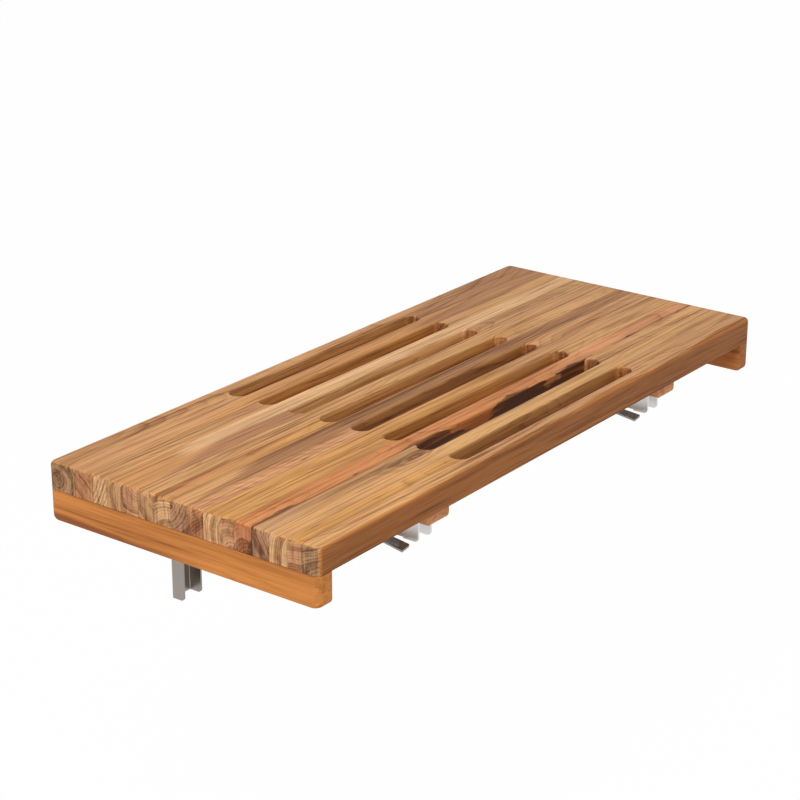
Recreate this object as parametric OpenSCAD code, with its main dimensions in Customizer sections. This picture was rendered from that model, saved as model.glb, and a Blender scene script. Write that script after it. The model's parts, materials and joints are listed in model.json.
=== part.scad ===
// Wall-hung folding shower bench: a slotted, edge-glued teak seat on two stainless folding brackets.
// X runs along the seat, Y is 0 on the wall and negative out into the room, Z is up.
// The origin is the middle of the four outer wall holes, on the wall.

/* [Seat board] */
// Length of the seat board along X
seat_l = 711; // [660:1:900]
// Depth of the seat board, from back edge to front edge
seat_w = 303; // [300:1:330]
// Thickness of the seat board
seat_t = 26; // [22:1:34]
// Radius of the board's four upright corners
seat_corner_r = 7; // [5:0.5:12]
// Radius of the rounding along the board's top edge
seat_top_r = 4; // [2:0.5:4.5]
// Radius of the rounding along the board's bottom edge
seat_low_r = 1; // [0.5:0.5:3]
// Gap between the board's back edge and the wall
wall_gap = 3.6; // [3:0.2:8]

/* [Drain slots] */
// Number of slots across the board's depth
slot_count = 8; // [5:1:8]
// Distance from one slot to the next
slot_pitch = 36.5; // [34:0.25:37]
// Length of a slot, end to end, below its rounded rim
slot_l = 288; // [200:1:300]
// Width of a slot below its rounded rim
slot_w = 18; // [12:0.5:20]
// Radius of the rounding along a slot's top rim
slot_rim_r = 2.5; // [2:0.5:5]
// Distance of the slots' middle from the board's middle, along X
slot_shift = 6.5; // [-8:0.5:8]

/* [End aprons] */
// Thickness of each end apron along X
apron_t = 18; // [14:1:24]
// Height of each end apron below the board
apron_h = 29; // [25:1:40]
// Radius of the aprons' two lower corners
apron_corner_r = 5; // [2:0.5:10]

/* [Battens] */
// Width of each cross batten along X
batten_w = 32; // [28:1:40]
// Thickness of each cross batten
batten_t = 9.5; // [9:0.5:14]
// Distance from the board's front and back edges to a batten's ends
batten_inset = 2.7; // [1.5:0.1:10]
// Radius of the rounding along a batten's two lower edges
batten_edge_r = 3; // [1:0.5:4]

/* [Wall channels] */
// Distance between the two brackets' middles
bracket_spacing = 380; // [360:1:406]
// Thickness of the bent stainless sheet
sheet_t = 2; // [1.5:0.1:2.5]
// Width of a wall channel
channel_w = 26; // [26:0.5:32]
// Depth of a wall channel, out from the wall
channel_d = 16; // [15.5:0.5:20]
// Distance from the board's underside down to a wall channel's foot
channel_drop = 167; // [160:1:172]
// Radius of the rounded lower front corner of a channel's flanges
channel_foot_r = 4; // [2:0.5:6]
// Radius of the rounded ear round the corner pin
ear_r = 6.8; // [6:0.1:7.2]
// Distance from the board's underside down to the middle wall hole
hole_drop = 95; // [80:1:110]
// Distance from the top wall hole to the bottom one
hole_spacing = 100; // [60:1:110]
// Diameter of a wall hole
hole_d = 5.5; // [4:0.5:6.5]

/* [Seat arms] */
// Outer width of a seat arm
arm_w = 20; // [19:0.5:20]
// Distance from the wall to an arm's front end
arm_reach = 290; // [280:1:296]
// Height of an arm, from its top face to its flanges' lower edge
arm_h = 19.7; // [19:0.1:20.5]
// Distance from an arm's top face down to the corner pin
pivot_drop = 15.1; // [14.8:0.1:15.4]
// Length of the deeper lug at an arm's front end
lug_l = 16; // [10:1:20]
// How far the lug reaches below the flanges
lug_drop = 1.3; // [0.5:0.1:1.4]

/* [Braces and pins] */
// Length of a brace between its two pins
brace_l = 158; // [152:1:164]
// Outer width of a brace
brace_w = 14; // [12:0.5:14]
// Depth of a brace's cheeks
brace_d = 8.4; // [8:0.1:9]
// Distance from a wall channel's foot up to the brace pin
brace_pin_rise = 42; // [38:1:48]
// Diameter of the corner, brace and slide pins
pin_d = 5; // [4:0.1:5.2]
// Diameter of a pin's domed head
pin_head_d = 9.2; // [8:0.2:11]
// Height of a pin's domed head
pin_head_h = 1.5; // [1:0.1:2.5]
// Radial clearance of a pin in its hole
pin_play = 0.05; // [0.02:0.01:0.1]
// Outer diameter of the spacer tubes on a brace pin
spacer_d = 7.2; // [6.8:0.1:7.6]
// Outer diameter of the washers on a corner pin
washer_d = 10; // [9:0.2:11]

/* [Release levers] */
// Thickness of a release lever
lever_t = 1.8; // [1.5:0.1:2]
// Width of the lever's strip inside the arm
lever_w = 6.4; // [5:0.2:6.8]
// Distance from the corner pin to the lever's rear end
lever_rear = 112; // [112:1:120]
// Distance from the corner pin to the lever's rivet
rivet_at = 190; // [180:1:200]
// Diameter of the lever's rivet
rivet_d = 4; // [3:0.5:4]
// Distance that the tongue's top face hangs below the board
tongue_drop = 30.7; // [30.7:0.1:31.4]

/* [Screws and dowels] */
// Shank diameter of the wood screws
screw_d = 4; // [3.5:0.1:4.5]
// Diameter of the wood screws' countersunk heads
screw_head_d = 8; // [7:0.5:8]
// Depth that an arm screw enters the batten
arm_screw_grip = 7.5; // [6:0.5:8]
// Depth that a batten screw enters the board
batten_screw_grip = 12; // [8:1:14]
// Diameter of the dowels between aprons and board
dowel_d = 8; // [6:1:10]
// Length of each dowel, half of it in the apron
dowel_l = 30; // [20:1:34]

/* [Hidden] */

$fn = 48;
teak = "burlywood";
dark_teak = "peru";
steel = "silver";
nylon = "whitesmoke";

left = -bracket_spacing / 2;
right = bracket_spacing / 2;
// cut tools reach this far past the faces that they cut
over = 1;
// clearance of a screw or dowel in its hole
fastener_play = 0.05;
// clearance between two parts that lie side by side
side_play = 0.1;

board_low_z = hole_drop;
board_mid_y = -wall_gap - seat_w / 2;

slot_depth_span = (slot_count - 1) * slot_pitch;

batten_low_z = board_low_z - batten_t;
batten_l = seat_w - 2 * batten_inset;
batten_screw_x = batten_w / 2 - screw_head_d;
batten_screw_out = [50, 250];

channel_low_z = board_low_z - channel_drop;
pivot_out = channel_d - ear_r;
pivot_z = batten_low_z - pivot_drop;
channel_top_z = pivot_z + ear_r;
channel_in = channel_w / 2 - sheet_t;

arm_low_z = batten_low_z - arm_h;
lug_low_z = arm_low_z - lug_drop;
lug_front_r = 4;
arm_in = arm_w / 2 - sheet_t;
arm_rear_out = pivot_out - 6;
arm_tail_r = pivot_z - arm_low_z;
arm_screw_out = [35, 140, 262];

pin_hole_r = pin_d / 2 + pin_play;
brace_pin_z = channel_low_z + brace_pin_rise;
pin_drop = pivot_z - brace_pin_z;
slide_at = sqrt(brace_l * brace_l - pin_drop * pin_drop);
brace_angle = atan2(pin_drop, slide_at);
brace_in = brace_w / 2 - sheet_t;
brace_bridge_gap = 12;
spacer_notch_r = spacer_d / 2 + 0.7;
bend_in_r = 1;
// the slide pin's place on the arm when the seat is up, and when it hangs down
slide_up_out = pivot_out + slide_at;
slide_down_out = pivot_out + pin_drop + brace_l;

strip_low_z = batten_low_z - sheet_t - 0.4 - lever_t;
strip_half = lever_w / 2;
rivet_out = pivot_out + rivet_at;
rivet_head_d = 7;
rivet_head_t = 0.7;
lever_rear_out = pivot_out + lever_rear;
// the lever turns down at its riser, and leaves the arm by a window just behind it
riser_back = 40.5;
window_l = 20;
riser_out = arm_reach - riser_back;
window_end_out = riser_out + 0.5;
window_start_out = window_end_out - window_l;
window_low_z = strip_low_z - 0.9;
// the tongue stands off the arm's side, is narrow at its waist, and slants outwards to its front
tongue_top_z = board_low_z - tongue_drop;
root_near = 3.5;
root_far = 14;
waist_near = 1.9;
waist_far = 14.5;
waist_back = 26;
tongue_far = 20.5;
tongue_back = 1.7;
corner_near = 8.6;
corner_back = 6.5;
tongue_corner_r = 3;
tongue_corner = [-arm_w / 2 - corner_near, -arm_reach + corner_back];
waist_out = arm_reach - waist_back;
spring_at_out = lever_rear_out + 14;
spring_r = 1.1;
spring_hole_r = 0.5;
// the spring lies below the bend between the arm's web and its flange
spring_z = batten_low_z - sheet_t - bend_in_r - spring_r;

dowel_spread = 110;

// ---- shared shapes ----

// A flat cheek: its outline is drawn as distance out from the wall and height
module cheek(x_mid, thickness)
  translate([x_mid, 0, 0])
    rotate([90, 0, -90])
      linear_extrude(thickness, center = true)
        children();

// The solid under a bent sheet: a block whose two far corners are rounded
module bent_block(w, d, r) {
  translate([-w / 2, -over])
    square([w, d - r + over]);
  translate([-w / 2 + r, 0])
    square([w - 2 * r, d]);
  for (side = [-1, 1])
    translate([side * (w / 2 - r), d - r])
      circle(r);
}

// A U-shaped section of bent sheet, w wide and d deep, that opens at y = 0
module bent_section(w, d)
  difference() {
    intersection() {
      bent_block(w, d, bend_in_r + sheet_t);
      translate([-w / 2, 0])
        square([w, d]);
    }
    bent_block(w - 2 * sheet_t, d - sheet_t, bend_in_r);
  }

// A round bar or hole along X, at a distance out from the wall and a height
module cross_bar(out, z, r, length)
  translate([0, -out, z])
    rotate([0, 90, 0])
      cylinder(r = r, h = length, center = true);

// A tube along X, from one distance off the bracket's middle to another
module cross_tube(out, z, outer_r, inner_r, x_start, x_end)
  translate([x_start, -out, z])
    rotate([0, 90, 0])
      difference() {
        cylinder(r = outer_r, h = x_end - x_start);
        translate([0, 0, -over])
          cylinder(r = inner_r, h = x_end - x_start + 2 * over);
      }

// A domed rivet head whose flat side lies on the plane z = 0
module dome(d, h) {
  ball_r = (d * d / 4 + h * h) / (2 * h);
  rotate_extrude()
    intersection() {
      translate([0, h - ball_r])
        circle(ball_r, $fn = 96);
      square([d, h]);
    }
}

// A cross pin with a domed head outside each flange of the wall channel
module headed_pin(out, z) {
  cross_bar(out, z, pin_d / 2, channel_w);
  for (side = [-1, 1])
    translate([side * channel_w / 2, -out, z])
      rotate([0, side * 90, 0])
        dome(pin_head_d, pin_head_h);
}

// A countersunk wood screw that points up, with its flat head at z = 0
module wood_screw(length) {
  head_h = (screw_head_d - screw_d) / 2;
  cylinder(r1 = screw_head_d / 2, r2 = screw_d / 2, h = head_h);
  cylinder(r = screw_d / 2, h = length - screw_d / 2);
  translate([0, 0, length - screw_d / 2])
    cylinder(r1 = screw_d / 2, r2 = 0.4, h = screw_d / 2);
}

// The hole that such a screw fills, with its clearance
module screw_hole(length) {
  head_h = (screw_head_d - screw_d) / 2;
  translate([0, 0, -over])
    cylinder(r = screw_head_d / 2 + fastener_play, h = over);
  cylinder(r1 = screw_head_d / 2 + fastener_play, r2 = screw_d / 2 + fastener_play, h = head_h);
  cylinder(r = screw_d / 2 + fastener_play, h = length + fastener_play);
}

// ---- seat board ----

// One corner of the board, with its top and bottom edges rounded
module board_corner()
  rotate_extrude($fn = 32)
    intersection() {
      union() {
        translate([0, seat_low_r])
          square([seat_corner_r, seat_t - seat_low_r - seat_top_r]);
        translate([seat_corner_r - seat_top_r, seat_t - seat_top_r])
          circle(seat_top_r);
        translate([seat_corner_r - seat_low_r, seat_low_r])
          circle(seat_low_r);
        square([seat_corner_r - seat_top_r, seat_t]);
      }
      square([seat_corner_r, seat_t]);
    }

// What the router takes out above the rim: the slot's width and a round on both sides
module rim_profile(half_w)
  difference() {
    translate([-half_w - slot_rim_r, seat_t - slot_rim_r])
      square([2 * (half_w + slot_rim_r), slot_rim_r + over]);
    for (side = [-1, 1])
      translate([side * (half_w + slot_rim_r), seat_t - slot_rim_r])
        circle(slot_rim_r);
  }

// One drain slot with round ends and a rounded rim
module drain_slot() {
  straight = slot_l - slot_w;
  translate([-straight / 2, -slot_w / 2, -over])
    cube([straight, slot_w, seat_t + 2 * over]);
  for (end = [-1, 1])
    translate([end * straight / 2, 0, 0]) {
      translate([0, 0, -over])
        cylinder(r = slot_w / 2, h = seat_t + 2 * over);
      rotate_extrude()
        intersection() {
          rim_profile(slot_w / 2);
          square([slot_w, seat_t + 2 * over]);
        }
    }
  rotate([90, 0, 90])
    linear_extrude(straight, center = true)
      rim_profile(slot_w / 2);
}

module seat_board()
  color(teak)
    difference() {
      hull()
        for (x = [-1, 1], y = [-1, 1])
          translate([x * (seat_l / 2 - seat_corner_r), board_mid_y + y * (seat_w / 2 - seat_corner_r),
                     board_low_z])
            board_corner();
      for (i = [0 : slot_count - 1])
        translate([slot_shift, board_mid_y - slot_depth_span / 2 + i * slot_pitch, board_low_z])
          drain_slot();
      for (x = [left, right])
        each_batten_screw(x)
          screw_hole(batten_t + batten_screw_grip);
      each_dowel()
        cylinder(r = dowel_d / 2 + fastener_play, h = dowel_l / 2 + fastener_play);
    }

// ---- aprons and dowels ----

module each_dowel()
  for (x = [-1, 1], y = [-1, 0, 1])
    translate([x * (seat_l - apron_t) / 2, board_mid_y + y * dowel_spread, board_low_z])
      children();

module apron(side)
  color(dark_teak)
    difference() {
      translate([side * (seat_l - apron_t) / 2, 0, 0])
        cheek(0, apron_t) {
          translate([wall_gap, board_low_z - apron_h + apron_corner_r])
            square([seat_w, apron_h - apron_corner_r]);
          translate([wall_gap + apron_corner_r, board_low_z - apron_h])
            square([seat_w - 2 * apron_corner_r, apron_h]);
          for (out = [wall_gap + apron_corner_r, wall_gap + seat_w - apron_corner_r])
            translate([out, board_low_z - apron_h + apron_corner_r])
              circle(apron_corner_r);
        }
      each_dowel()
        translate([0, 0, -dowel_l / 2 - fastener_play])
          cylinder(r = dowel_d / 2 + fastener_play, h = dowel_l / 2 + fastener_play + over);
    }

module apron_dowels()
  color(dark_teak)
    each_dowel()
      cylinder(r = dowel_d / 2, h = dowel_l, center = true);

// ---- battens and their screws ----

module each_batten_screw(x_mid)
  for (x = [-batten_screw_x, batten_screw_x], out = batten_screw_out)
    translate([x_mid + x, -out, batten_low_z])
      children();

module each_arm_screw(x_mid)
  for (out = arm_screw_out)
    translate([x_mid, -out, batten_low_z - sheet_t])
      children();

module batten(x_mid)
  color(dark_teak)
    difference() {
      translate([x_mid, -wall_gap - batten_inset, 0])
        rotate([90, 0, 0])
          linear_extrude(batten_l) {
            translate([-batten_w / 2, batten_low_z + batten_edge_r])
              square([batten_w, batten_t - batten_edge_r]);
            translate([-batten_w / 2 + batten_edge_r, batten_low_z])
              square([batten_w - 2 * batten_edge_r, batten_t]);
            for (side = [-1, 1])
              translate([side * (batten_w / 2 - batten_edge_r), batten_low_z + batten_edge_r])
                circle(batten_edge_r);
          }
      each_batten_screw(x_mid)
        screw_hole(batten_t + batten_screw_grip);
      each_arm_screw(x_mid)
        screw_hole(sheet_t + arm_screw_grip);
    }

module batten_screws()
  color(steel)
    for (x = [left, right])
      each_batten_screw(x)
        wood_screw(batten_t + batten_screw_grip);

module arm_screws()
  color(steel)
    for (x = [left, right])
      each_arm_screw(x)
        wood_screw(sheet_t + arm_screw_grip);

// ---- wall channels ----

// The channel seen from the side, with the front corner of its foot rounded
module channel_outline() {
  translate([0, channel_low_z + channel_foot_r])
    square([channel_d, pivot_z - channel_low_z - channel_foot_r]);
  translate([0, channel_low_z])
    square([channel_d - channel_foot_r, channel_foot_r]);
  translate([channel_d - channel_foot_r, channel_low_z + channel_foot_r])
    circle(channel_foot_r);
  translate([0, pivot_z - ear_r])
    square([pivot_out, 2 * ear_r]);
  translate([pivot_out, pivot_z])
    circle(ear_r);
}

module wall_channel(x_mid)
  color(steel)
    translate([x_mid, 0, 0])
      difference() {
        intersection() {
          cheek(0, channel_w)
            channel_outline();
          translate([0, -channel_d, channel_low_z])
            linear_extrude(channel_top_z - channel_low_z)
              bent_section(channel_w, channel_d);
        }
        cross_bar(pivot_out, pivot_z, pin_hole_r, channel_w + 2 * over);
        cross_bar(pivot_out, brace_pin_z, pin_hole_r, channel_w + 2 * over);
        for (z = [-hole_spacing / 2, 0, hole_spacing / 2])
          translate([0, 0, z])
            rotate([90, 0, 0])
              cylinder(r = hole_d / 2, h = 2 * sheet_t + 2 * over, center = true);
      }

// ---- seat arms ----

// The arm seen from the side
module arm_outline() {
  translate([arm_rear_out, pivot_z])
    square([arm_reach - arm_rear_out, batten_low_z - pivot_z]);
  translate([arm_rear_out + arm_tail_r, arm_low_z])
    square([arm_reach - lug_front_r - arm_rear_out - arm_tail_r, arm_h]);
  translate([arm_rear_out + arm_tail_r, pivot_z])
    circle(arm_tail_r);
  translate([arm_reach - lug_l, lug_low_z])
    square([lug_l - lug_front_r, arm_h]);
  translate([arm_reach - lug_l, lug_low_z + lug_front_r])
    square([lug_l, arm_h - lug_front_r]);
  translate([arm_reach - lug_front_r, lug_low_z + lug_front_r])
    circle(lug_front_r);
}

// The notch that the brace pin and its spacers enter when the seat hangs down
module pin_notch() {
  notch_out = pivot_out + pin_drop;
  translate([0, -notch_out, 0])
    translate([-channel_w / 2, -spacer_notch_r, arm_low_z - over])
      cube([channel_w, 2 * spacer_notch_r, pivot_z - arm_low_z + over]);
  cross_bar(notch_out, pivot_z, spacer_notch_r, channel_w);
}

// The long slot along both flanges, between the slide pin's two end places
module slide_slot() {
  for (out = [slide_up_out, slide_down_out])
    cross_bar(out, pivot_z, pin_hole_r, arm_w + 2 * over);
  translate([-arm_w / 2 - over, -slide_down_out, pivot_z - pin_hole_r])
    cube([arm_w + 2 * over, slide_down_out - slide_up_out, 2 * pin_hole_r]);
}

module arm(x_mid)
  color(steel)
    translate([x_mid, 0, 0])
      difference() {
        intersection() {
          cheek(0, arm_w)
            arm_outline();
          translate([0, -arm_rear_out, lug_low_z])
            rotate([90, 0, 0])
              linear_extrude(arm_reach - arm_rear_out)
                bent_section(arm_w, batten_low_z - lug_low_z);
        }
        cross_bar(pivot_out, pivot_z, pin_hole_r, arm_w + 2 * over);
        pin_notch();
        slide_slot();
        translate([-arm_w / 2 - over, -window_end_out, window_low_z])
          cube([sheet_t + 2 * over, window_end_out - window_start_out,
                batten_low_z - sheet_t - window_low_z]);
        translate([0, -rivet_out, batten_low_z - sheet_t - over])
          cylinder(r = rivet_d / 2 + fastener_play, h = sheet_t + 2 * over);
        each_arm_screw(0)
          screw_hole(sheet_t + arm_screw_grip);
      }

// ---- braces ----

// A brace drawn along +X with its wall pin at the origin, its open side up
module brace_shape()
  difference() {
    intersection() {
      rotate([90, 0, 0])
        linear_extrude(brace_w, center = true) {
          translate([0, -brace_d / 2])
            square([brace_l, brace_d]);
          for (x = [0, brace_l])
            translate([x, 0])
              circle(brace_d / 2);
        }
      translate([-brace_d, 0, brace_d / 2])
        rotate([90, 180, 90])
          linear_extrude(brace_l + 2 * brace_d)
            bent_section(brace_w, brace_d);
    }
    for (x = [-brace_d, brace_l - brace_bridge_gap])
      translate([x, -brace_in, -brace_d / 2 - over])
        cube([brace_d + brace_bridge_gap, 2 * brace_in, brace_d + 2 * over]);
    for (x = [0, brace_l])
      translate([x, 0, 0])
        rotate([90, 0, 0])
          cylinder(r = pin_hole_r, h = brace_w + 2 * over, center = true);
  }

module brace(x_mid)
  color(steel)
    translate([x_mid, -pivot_out, brace_pin_z])
      rotate([0, 0, -90])
        rotate([0, -brace_angle, 0])
          brace_shape();

// ---- pins, spacers and washers ----

module corner_pin(x_mid)
  color(steel)
    translate([x_mid, 0, 0])
      headed_pin(pivot_out, pivot_z);

module brace_pin(x_mid)
  color(steel)
    translate([x_mid, 0, 0])
      headed_pin(pivot_out, brace_pin_z);

module slide_pin(x_mid)
  color(steel)
    translate([x_mid, 0, 0])
      cross_bar(slide_up_out, pivot_z, pin_d / 2, 2 * (arm_in - 0.4));

module corner_washers()
  color(nylon)
    for (x = [left, right], side = [-1, 1])
      translate([x, 0, 0])
        mirror([side < 0 ? 1 : 0, 0, 0])
          cross_tube(pivot_out, pivot_z, washer_d / 2, pin_hole_r, arm_w / 2 + side_play,
                     channel_in - side_play);

module brace_spacers()
  color(steel)
    for (x = [left, right], side = [-1, 1])
      translate([x, 0, 0])
        mirror([side < 0 ? 1 : 0, 0, 0])
          cross_tube(pivot_out, brace_pin_z, spacer_d / 2, pin_hole_r, brace_w / 2 + side_play,
                     channel_in - side_play);

// ---- release levers ----

// The lever seen from above: a strip inside the arm, which turns outwards through the window
// in the arm's left flange, and beside the arm's lug the tongue that the hand takes hold of
module lever_plan()
  polygon(concat(
    [
      [-strip_half, -lever_rear_out],
      [strip_half, -lever_rear_out],
      [strip_half, -window_start_out - 3.5],
      [-arm_w / 2 - root_near, -riser_out + lever_t],
      [-arm_w / 2 - waist_near, -waist_out],
    ],
    [for (a = [0 : 15 : 90]) tongue_corner + tongue_corner_r * [cos(a), -sin(a)]],
    [
      [-arm_w / 2 - tongue_far, -arm_reach + tongue_back],
      [-arm_w / 2 - waist_far, -waist_out],
      [-arm_w / 2 - root_far, -riser_out + lever_t],
      [-strip_half, -window_start_out + 4],
    ]
  ));

// A block from the origin whose far corner is rounded
module corner_block(w, h, r) {
  square([w - r, h]);
  square([w, h - r]);
  translate([w - r, h - r])
    circle(r);
}

// A bend in the lever's sheet: it runs along the top, then turns down at the far end
module lever_elbow(run, drop)
  difference() {
    corner_block(run, drop, bend_in_r + lever_t);
    translate([-over, -over])
      corner_block(run - lever_t + over, drop - lever_t + over, bend_in_r);
  }

// The lever seen from the side: the strip, the riser below it and the tongue
module lever_side() {
  mid_z = (strip_low_z + tongue_top_z) / 2;
  translate([lever_rear_out - over, mid_z - over])
    lever_elbow(riser_out - lever_rear_out + over, strip_low_z + lever_t - mid_z + over);
  translate([arm_reach + over, mid_z + over])
    rotate(180)
      lever_elbow(arm_reach + over - riser_out + lever_t, mid_z + over - tongue_top_z + lever_t);
}

module lever(x_mid)
  color(steel)
    translate([x_mid, 0, 0])
      difference() {
        intersection() {
          translate([0, 0, tongue_top_z - 2 * lever_t])
            linear_extrude(strip_low_z - tongue_top_z + 4 * lever_t)
              lever_plan();
          cheek(0, 2 * arm_reach)
            lever_side();
        }
        translate([0, -rivet_out, strip_low_z - over])
          cylinder(r = rivet_d / 2 + fastener_play, h = lever_t + 2 * over);
      }

module lever_rivet(x_mid)
  color(steel)
    translate([x_mid, -rivet_out, 0]) {
      translate([0, 0, strip_low_z - side_play])
        cylinder(r = rivet_d / 2, h = batten_low_z - strip_low_z + side_play);
      translate([0, 0, strip_low_z - side_play - rivet_head_t])
        cylinder(r = rivet_head_d / 2, h = rivet_head_t);
    }

module lever_spring(x_mid)
  color(steel)
    translate([x_mid, 0, 0])
      cross_tube(spring_at_out, spring_z, spring_r, spring_hole_r,
                 -arm_in + side_play, -strip_half - side_play);

seat_board();
apron(-1);  // left_apron
apron(1);  // right_apron
batten(left);  // left_batten
batten(right);  // right_batten
wall_channel(left);  // left_wall_channel
wall_channel(right);  // right_wall_channel
arm(left);  // left_arm
arm(right);  // right_arm
brace(left);  // left_brace
brace(right);  // right_brace
corner_pin(left);  // left_corner_pin
corner_pin(right);  // right_corner_pin
brace_pin(left);  // left_brace_pin
brace_pin(right);  // right_brace_pin
slide_pin(left);  // left_slide_pin
slide_pin(right);  // right_slide_pin
corner_washers();
brace_spacers();
lever(left);  // left_lever
lever(right);  // right_lever
lever_rivet(left);  // left_lever_rivet
lever_rivet(right);  // right_lever_rivet
lever_spring(left);  // left_lever_spring
lever_spring(right);  // right_lever_spring
arm_screws();
batten_screws();
apron_dowels();
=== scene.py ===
import json
import math
from collections import namedtuple

import bmesh
import bpy
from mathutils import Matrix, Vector

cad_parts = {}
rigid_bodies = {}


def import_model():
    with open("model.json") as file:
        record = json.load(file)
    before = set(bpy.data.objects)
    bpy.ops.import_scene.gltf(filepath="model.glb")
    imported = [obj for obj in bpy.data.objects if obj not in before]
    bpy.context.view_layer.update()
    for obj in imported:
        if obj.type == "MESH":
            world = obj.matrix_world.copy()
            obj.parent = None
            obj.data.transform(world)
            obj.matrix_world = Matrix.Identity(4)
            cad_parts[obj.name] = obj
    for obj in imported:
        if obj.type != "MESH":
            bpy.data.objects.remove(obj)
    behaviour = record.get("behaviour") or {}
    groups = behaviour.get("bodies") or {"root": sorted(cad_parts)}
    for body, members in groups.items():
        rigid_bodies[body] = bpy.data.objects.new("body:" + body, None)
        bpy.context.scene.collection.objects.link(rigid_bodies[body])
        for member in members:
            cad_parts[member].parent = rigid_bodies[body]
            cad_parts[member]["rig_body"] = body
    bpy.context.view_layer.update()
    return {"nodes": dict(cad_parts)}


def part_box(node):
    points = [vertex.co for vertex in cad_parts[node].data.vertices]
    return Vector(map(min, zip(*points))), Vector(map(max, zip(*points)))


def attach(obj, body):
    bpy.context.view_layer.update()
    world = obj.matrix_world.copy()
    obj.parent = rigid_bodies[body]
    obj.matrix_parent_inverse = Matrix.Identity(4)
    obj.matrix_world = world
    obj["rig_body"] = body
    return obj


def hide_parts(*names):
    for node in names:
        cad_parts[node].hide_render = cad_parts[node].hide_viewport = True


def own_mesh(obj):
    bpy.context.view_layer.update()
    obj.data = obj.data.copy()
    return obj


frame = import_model()
nodes = frame["nodes"]


# ---- The view ----
# The bench hangs on its wall and is seen from its front left corner, a little from above.
# The camera stands 2.2 m away, so the far end is drawn smaller than the near one.
CAMERA_AT = Vector((-1.5676, -1.3012, 0.8499))
LOOK = Vector((0.7454, 0.5617, -0.3589))
LENS_MM, SENSOR_MM = 98.0, 36.0

camera_data = bpy.data.cameras.new("camera")
camera_data.lens = LENS_MM
camera_data.sensor_width = SENSOR_MM
camera = bpy.data.objects.new("camera", camera_data)
camera.location = CAMERA_AT
camera.rotation_mode = "QUATERNION"
camera.rotation_quaternion = LOOK.to_track_quat("-Z", "Y")
bpy.context.scene.collection.objects.link(camera)
bpy.context.scene.camera = camera


# ---- Seat board ----
# Sixteen teak strips glued edge to edge, planed and sanded, then routed with eight drain slots.
# Every strip is sawn from another plank, so its colour, its rings and its end grain are its own.
# The board keeps its CAD shape and gets the wood as a solid pattern that runs through it.
def rgb(red, green, blue):
    """A colour given as it looks on a screen, from 0 to 255, as Blender's linear values."""
    linear = []
    for part in (red, green, blue):
        c = part / 255
        linear.append(c / 12.92 if c <= 0.04045 else ((c + 0.055) / 1.055) ** 2.4)
    return (*linear, 1.0)


def put(tree, kind, sockets=None, **settings):
    """Adds a node: settings are its own options, sockets are values or links for its inputs."""
    made = tree.nodes.new(kind)
    for name, value in settings.items():
        setattr(made, name, value)
    for name, value in (sockets or {}).items():
        if isinstance(value, bpy.types.NodeSocket):
            tree.links.new(value, made.inputs[name])
        else:
            made.inputs[name].default_value = value
    return made


def calc(tree, operation, a, b=0.0, clamp=False):
    """One Math node, and its output."""
    made = put(tree, "ShaderNodeMath", {0: a, 1: b}, operation=operation, use_clamp=clamp)
    return made.outputs[0]


def add(tree, first, *others):
    """The sum of two or more values."""
    for other in others:
        first = calc(tree, "ADD", first, other)
    return first


def times(tree, first, *others):
    """The product of two or more values."""
    for other in others:
        first = calc(tree, "MULTIPLY", first, other)
    return first


def less(tree, a, b):
    """What is left of a without b."""
    return calc(tree, "SUBTRACT", a, b)


def spread(tree, value, low, high, to_low=0.0, to_high=1.0):
    """Eases value from one range into another."""
    made = put(tree, "ShaderNodeMapRange",
               {"Value": value, "From Min": low, "From Max": high,
                "To Min": to_low, "To Max": to_high},
               interpolation_type="SMOOTHSTEP")
    return made.outputs["Result"]


def between(tree, value, start, end, edge):
    """1 where value lies between start and end, eased over an edge inside both."""
    return times(tree, spread(tree, value, start, start + edge),
                 spread(tree, value, end - edge, end, 1.0, 0.0))


def blend_colour(tree, share, first, second, kind="MIX"):
    """Mixes two colours, and gives the result."""
    made = put(tree, "ShaderNodeMix", data_type="RGBA", blend_type=kind, clamp_factor=True)
    sockets = made.inputs["Factor"], made.inputs[6], made.inputs[7]
    for socket, value in zip(sockets, (share, first, second)):
        if isinstance(value, bpy.types.NodeSocket):
            tree.links.new(value, socket)
        else:
            socket.default_value = value
    return made.outputs[2]


def stretched_noise(tree, position, along, across, detail=3.0, roughness=0.55, offset=None):
    """Noise that is drawn out along the grain: so many spots a metre along it and across it."""
    scaled = put(tree, "ShaderNodeVectorMath", {0: position, 1: (along, across, across)},
                 operation="MULTIPLY")
    place = scaled.outputs[0]
    if offset is not None:
        place = put(tree, "ShaderNodeVectorMath", {0: place, 1: offset}, operation="ADD").outputs[0]
    made = put(tree, "ShaderNodeTexNoise",
               {"Vector": place, "Scale": 1.0, "Detail": detail, "Roughness": roughness})
    return made.outputs["Fac"]


def new_group(name, inputs, outputs):
    """An empty shader node group with its sockets, and its input and output nodes."""
    tree = bpy.data.node_groups.new(name, "ShaderNodeTree")
    kinds = {"value": "NodeSocketFloat", "colour": "NodeSocketColor", "vector": "NodeSocketVector"}
    for label, kind, start in inputs:
        socket = tree.interface.new_socket(name=label, in_out="INPUT", socket_type=kinds[kind])
        if start is not None:
            socket.default_value = start
    for label, kind in outputs:
        tree.interface.new_socket(name=label, in_out="OUTPUT", socket_type=kinds[kind])
    return tree, tree.nodes.new("NodeGroupInput").outputs, tree.nodes.new("NodeGroupOutput").inputs


PITH_SWAY = 0.034
YEARS_TO_A_BAND = 1 / 0.24
LINE_STRENGTH, EARLY_SHARE = 0.85, 0.45


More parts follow.
